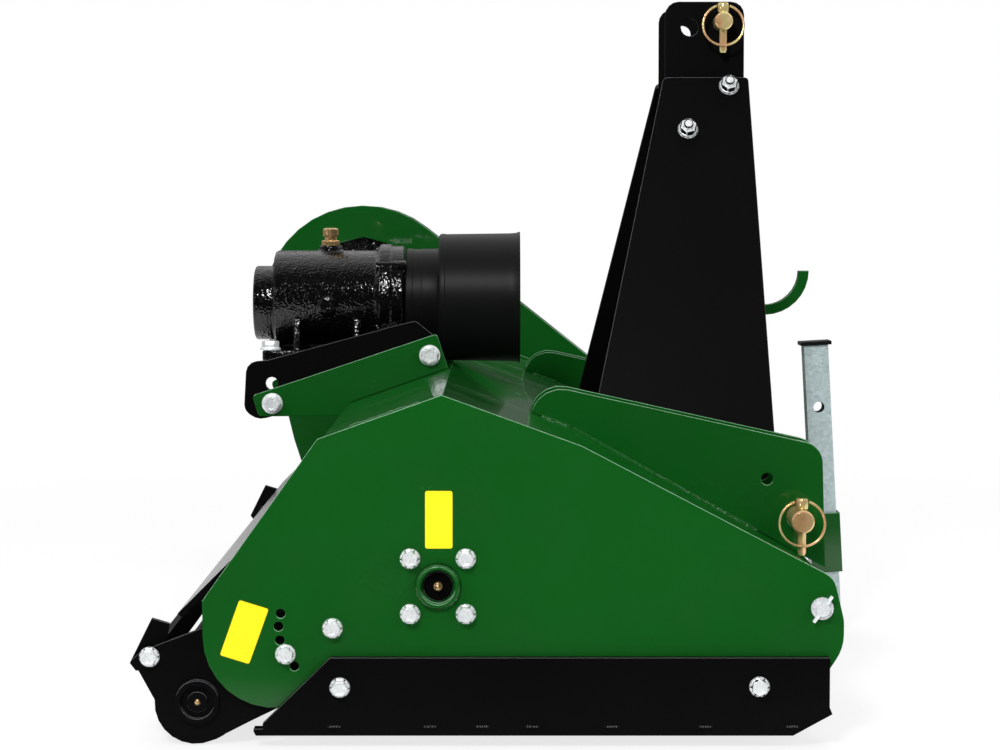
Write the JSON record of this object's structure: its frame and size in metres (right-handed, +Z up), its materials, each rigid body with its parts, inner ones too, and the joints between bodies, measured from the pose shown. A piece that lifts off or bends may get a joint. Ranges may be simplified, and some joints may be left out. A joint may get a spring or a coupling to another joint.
{
  "type": "tractor mulcher",
  "caption": "Three-point tractor mulcher with a belt-driven hammer rotor under a folded deck, rear roller, skids, hitch mast, gearbox and parking stand.",
  "frame": {"origin": "middle of the machine's box on the ground under the roller", "axes": "+X towards the tractor, +Y towards the belt side along the rotor, +Z up"},
  "size_m": [0.7102, 1.2498, 0.6932],
  "materials": {
    "green_paint": "gloss, with thin bright edges",
    "black_paint": "satin",
    "cast_case": "painted gloss black over a rough casting",
    "shield_plastic": "matte",
    "belt_rubber": "matte",
    "zinc": "bright zinc plate",
    "yellow_zinc": "yellow zinc plate",
    "steel": "bare, oiled",
    "brass": "satin"
  },
  "bodies": {
    "casing": {"left_side_plate": "green_paint", "belt_side_plate": "green_paint", "deck_sheet": "green_paint", "left_bearing_housing": "green_paint", "belt_side_bearing_housing": "green_paint", "left_outer_cheek": "green_paint", "left_inner_cheek": "green_paint", "belt_side_outer_cheek": "green_paint", "belt_side_inner_cheek": "green_paint", "shaft_hook": "green_paint", "left_saddle": "green_paint", "belt_side_saddle": "green_paint", "belt_guard_back": "green_paint", "belt_guard_cover": "green_paint", "stand_sleeve": "green_paint", "left_skid": "black_paint", "belt_side_skid": "black_paint", "left_mast_leg": "black_paint", "belt_side_mast_leg": "black_paint", "left_head_plate": "black_paint", "belt_side_head_plate": "black_paint", "gearbox_cradle": "black_paint", "gearbox_case": "cast_case", "pto_shield": "shield_plastic", "drive_belt_1": "belt_rubber", "drive_belt_2": "belt_rubber", "flap_rod": "zinc", "left_hitch_pin": "yellow_zinc", "belt_side_hitch_pin": "yellow_zinc", "top_link_pin": "yellow_zinc", "left_clip_pin": "yellow_zinc", "belt_side_clip_pin": "yellow_zinc", "top_clip_pin": "yellow_zinc", "filler_plug": "brass"},
    "input_shaft_body": {"input_shaft": "steel"},
    "cross_shaft_body": {"cross_shaft": "steel", "drive_pulley": "cast_case"},
    "rotor_body": {"rotor": "steel", "rotor_pulley": "cast_case"},
    "flail_1_body": {"flail_1": "steel"},
    "flail_2_body": {"flail_2": "steel"},
    "flail_3_body": {"flail_3": "steel"},
    "flail_4_body": {"flail_4": "steel"},
    "flail_5_body": {"flail_5": "steel"},
    "flail_6_body": {"flail_6": "steel"},
    "flail_7_body": {"flail_7": "steel"},
    "flail_8_body": {"flail_8": "steel"},
    "roller_frame": {"left_roller_arm": "black_paint", "belt_side_roller_arm": "black_paint", "scraper_bar": "black_paint"},
    "roller_body": {"roller": "black_paint"},
    "rear_guard_body": {"rear_guard": "black_paint"},
    "front_flap_1_body": {"front_flap_1": "black_paint"},
    "front_flap_2_body": {"front_flap_2": "black_paint"},
    "front_flap_3_body": {"front_flap_3": "black_paint"},
    "stand": {"stand_leg": "zinc", "leg_cap": "shield_plastic"},
    "left_clip_ring_body": {"left_clip_ring": "yellow_zinc"},
    "belt_side_clip_ring_body": {"belt_side_clip_ring": "yellow_zinc"},
    "top_clip_ring_body": {"top_clip_ring": "yellow_zinc"}
  },
  "joints": [
    {"name": "input_spin", "type": "hinge", "parent": "casing", "child": "input_shaft_body", "pos_m": [-0.08191, -0.03385, 0.3772], "axis": [1, 0, 0], "continuous": true},
    {"name": "cross_spin", "type": "hinge", "parent": "casing", "child": "cross_shaft_body", "pos_m": [-0.20691, -0.03385, 0.3772], "axis": [0, 1, 0], "continuous": true},
    {"name": "rotor_spin", "type": "hinge", "parent": "casing", "child": "rotor_body", "pos_m": [-0.08191, -0.03385, 0.1422], "axis": [0, 1, 0], "continuous": true},
    {"name": "flail_1_swing", "type": "hinge", "parent": "rotor_body", "child": "flail_1_body", "pos_m": [-0.03665, -0.53173, 0.18746], "axis": [0, -1, 0], "range_deg": [0, 270]},
    {"name": "flail_2_swing", "type": "hinge", "parent": "rotor_body", "child": "flail_2_body", "pos_m": [-0.03665, -0.38948, 0.09695], "axis": [0, -1, 0], "range_deg": [-90, 180]},
    {"name": "flail_3_swing", "type": "hinge", "parent": "rotor_body", "child": "flail_3_body", "pos_m": [-0.12716, -0.24723, 0.09695], "axis": [0, -1, 0], "range_deg": [-180, 90]},
    {"name": "flail_4_swing", "type": "hinge", "parent": "rotor_body", "child": "flail_4_body", "pos_m": [-0.12716, -0.10497, 0.18746], "axis": [0, -1, 0], "range_deg": [-270, 0]},
    {"name": "flail_5_swing", "type": "hinge", "parent": "rotor_body", "child": "flail_5_body", "pos_m": [-0.03665, 0.03728, 0.18746], "axis": [0, -1, 0], "range_deg": [0, 270]},
    {"name": "flail_6_swing", "type": "hinge", "parent": "rotor_body", "child": "flail_6_body", "pos_m": [-0.03665, 0.17952, 0.09695], "axis": [0, -1, 0], "range_deg": [-90, 180]},
    {"name": "flail_7_swing", "type": "hinge", "parent": "rotor_body", "child": "flail_7_body", "pos_m": [-0.12716, 0.32177, 0.09695], "axis": [0, -1, 0], "range_deg": [-180, 90]},
    {"name": "flail_8_swing", "type": "hinge", "parent": "rotor_body", "child": "flail_8_body", "pos_m": [-0.12716, 0.46403, 0.18746], "axis": [0, -1, 0], "range_deg": [-270, 0]},
    {"name": "height_swing", "type": "hinge", "parent": "casing", "child": "roller_frame", "pos_m": [-0.17471, -0.03385, 0.105], "axis": [0, 1, 0], "range_deg": [-16, 45]},
    {"name": "roller_spin", "type": "hinge", "parent": "roller_frame", "child": "roller_body", "pos_m": [-0.29441, -0.03385, 0.039], "axis": [0, 1, 0], "continuous": true},
    {"name": "rear_guard_swing", "type": "hinge", "parent": "casing", "child": "rear_guard_body", "pos_m": [-0.21111, -0.03385, 0.2139], "axis": [0, 1, 0], "range_deg": [-24, 67.5]},
    {"name": "front_flap_1_swing", "type": "hinge", "parent": "casing", "child": "front_flap_1_body", "pos_m": [0.25569, -0.03385, 0.1228], "axis": [0, 1, 0], "range_deg": [-20, 75]},
    {"name": "front_flap_2_swing", "type": "hinge", "parent": "casing", "child": "front_flap_2_body", "pos_m": [0.25569, -0.03385, 0.1228], "axis": [0, 1, 0], "range_deg": [-20, 75]},
    {"name": "front_flap_3_swing", "type": "hinge", "parent": "casing", "child": "front_flap_3_body", "pos_m": [0.25569, -0.03385, 0.1228], "axis": [0, 1, 0], "range_deg": [-20, 75]},
    {"name": "stand_slide", "type": "slide", "parent": "casing", "child": "stand", "axis": [0.0558, 0, -0.9984], "range_m": [0, 0.15]},
    {"name": "left_clip_ring_swing", "type": "hinge", "parent": "casing", "child": "left_clip_ring_body", "pos_m": [0.25889, -0.42385, 0.1958], "axis": [-1, 0, 0], "range_deg": [0, 150]},
    {"name": "belt_side_clip_ring_swing", "type": "hinge", "parent": "casing", "child": "belt_side_clip_ring_body", "pos_m": [0.25889, 0.35615, 0.1958], "axis": [1, 0, 0], "range_deg": [0, 150]},
    {"name": "top_clip_ring_swing", "type": "hinge", "parent": "casing", "child": "top_clip_ring_body", "pos_m": [0.20859, -0.10785, 0.6875], "axis": [-1, 0, 0], "range_deg": [0, 150]}
  ],
  "couplings": [
    {"joint": "cross_spin", "follows": "input_spin", "ratio": 3},
    {"joint": "rotor_spin", "follows": "input_spin", "ratio": 4},
    {"joint": "rear_guard_swing", "follows": "height_swing", "ratio": 1.5}
  ]
}
